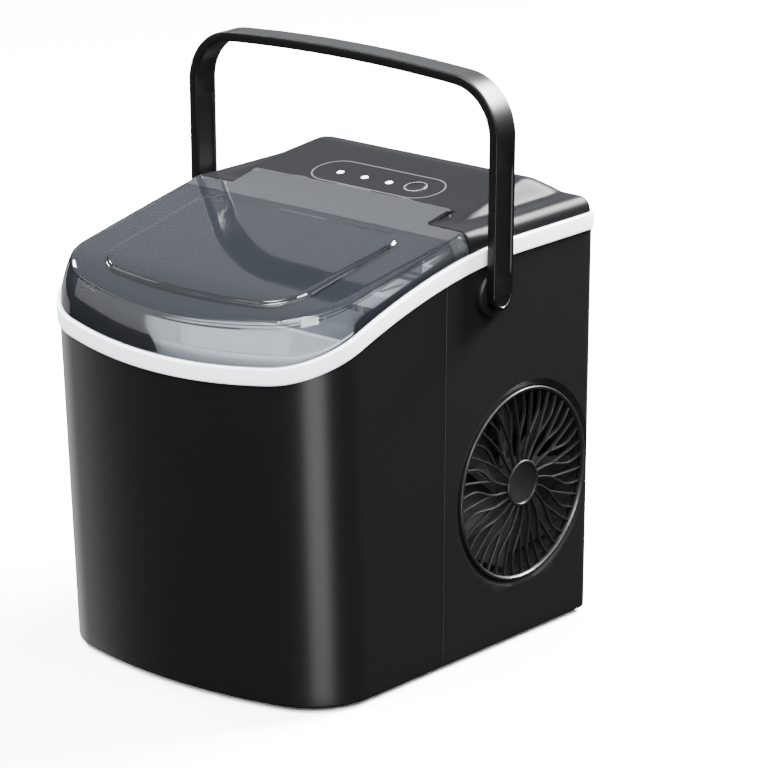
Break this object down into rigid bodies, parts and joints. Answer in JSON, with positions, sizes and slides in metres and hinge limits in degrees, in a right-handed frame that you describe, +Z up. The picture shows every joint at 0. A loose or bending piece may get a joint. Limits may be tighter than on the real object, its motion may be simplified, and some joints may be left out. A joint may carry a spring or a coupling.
{
  "type": "countertop ice maker",
  "caption": "Compact upright ice maker with a bowed black case, white trim band, smoked clear lid, sloping control panel, round side fan grille and a folding carry handle.",
  "frame": {"origin": "centre of the footprint, on the floor under the feet", "axes": "+Z up, -Y is the front with the lid, +X is the side with the round fan grille"},
  "size_m": [0.243, 0.2739, 0.3592],
  "materials": {
    "black_case": "satin black ABS",
    "panel_film": "smooth black overlay",
    "white_trim": "gloss white",
    "grey_pan": "moulded dark grey",
    "rubber": "moulded",
    "rubber_clear": "translucent silicone",
    "steel": "zinc plated",
    "silver_ring": "satin silver",
    "led_lens": "milky lens",
    "circuit_board": "solder mask",
    "smoked_lid": "clear smoke-grey polycarbonate, polished",
    "aluminium_fins": "bare sheet",
    "nickel_plate": "nickel plated",
    "black_steel": "black enamel",
    "copper": "copper tube",
    "liner_plastic": "grey food-grade plastic",
    "basket_plastic": "light grey translucent plastic",
    "white_plastic": "white food-grade plastic"
  },
  "bodies": {
    "case": {"front_shell": "black_case", "rear_shell": "black_case", "trim_band": "white_trim", "base_pan": "grey_pan", "foot_front_left": "rubber", "foot_front_right": "rubber", "foot_rear_left": "rubber", "foot_rear_right": "rubber", "case_screws": "steel", "top_cover": "black_case", "control_film": "panel_film", "led_left": "led_lens", "led_middle": "led_lens", "led_right": "led_lens", "button_ring": "silver_ring", "display_board": "circuit_board", "lid_pin_left": "steel", "lid_pin_right": "steel", "handle_boss_left": "black_case", "handle_boss_right": "black_case", "fan_grille": "black_case", "fan_shroud": "grey_pan", "fan_motor": "steel", "condenser": "aluminium_fins", "compressor": "black_steel", "compressor_grommets": "rubber", "discharge_line": "copper", "suction_line": "copper", "filter_drier": "copper", "capillary_line": "copper", "hot_gas_valve": "steel", "hot_gas_line": "copper", "evaporator": "nickel_plate", "liner": "liner_plastic", "tray_motor": "grey_pan", "water_pump": "grey_pan", "pump_hose": "rubber_clear", "float_stem": "white_plastic", "ice_sensor_left": "black_case", "ice_sensor_right": "black_case", "main_board": "circuit_board", "cord_gland": "rubber", "drain_spout": "white_plastic"},
    "lid": {"lid": "smoked_lid"},
    "handle": {"handle": "black_case"},
    "button": {"power_button": "black_case"},
    "fan": {"fan_blades": "grey_pan"},
    "basket": {"ice_basket": "basket_plastic"},
    "tray": {"water_tray": "white_plastic"},
    "shovel": {"ice_shovel": "white_plastic"},
    "float": {"water_float": "white_plastic"},
    "drain": {"drain_cap": "black_case"}
  },
  "joints": [
    {"name": "lid_hinge", "type": "hinge", "parent": "case", "child": "lid", "pos_m": [0, 0.027, 0.2595], "axis": [-1, 0, 0], "range_deg": [0, 88]},
    {"name": "handle_pivot", "type": "hinge", "parent": "case", "child": "handle", "pos_m": [0, 0.0345, 0.226], "axis": [-1, 0, 0], "range_deg": [0, 95]},
    {"name": "power_button_press", "type": "slide", "parent": "case", "child": "button", "axis": [0, 0.158, -0.9874], "range_m": [0, 0.0008], "stiffness_N_per_m": 400},
    {"name": "fan_spin", "type": "hinge", "parent": "case", "child": "fan", "pos_m": [0.0955, 0.069, 0.0995], "axis": [1, 0, 0], "continuous": true},
    {"name": "basket_lift", "type": "slide", "parent": "case", "child": "basket", "axis": [0, 0, 1], "range_m": [0, 0.018]},
    {"name": "tray_tilt", "type": "hinge", "parent": "case", "child": "tray", "pos_m": [0, 0.038, 0.205], "axis": [1, 0, 0], "range_deg": [0, 60]},
    {"name": "shovel_swing", "type": "hinge", "parent": "case", "child": "shovel", "pos_m": [0, 0.038, 0.205], "axis": [1, 0, 0], "range_deg": [0, 21]},
    {"name": "float_slide", "type": "slide", "parent": "case", "child": "float", "axis": [0, 0, 1], "range_m": [0, 0.012]},
    {"name": "drain_cap_pull", "type": "slide", "parent": "case", "child": "drain", "axis": [-1, 0, 0], "range_m": [0, 0.03]}
  ],
  "couplings": [
    {"joint": "shovel_swing", "follows": "tray_tilt", "ratio": 0.35}
  ]
}
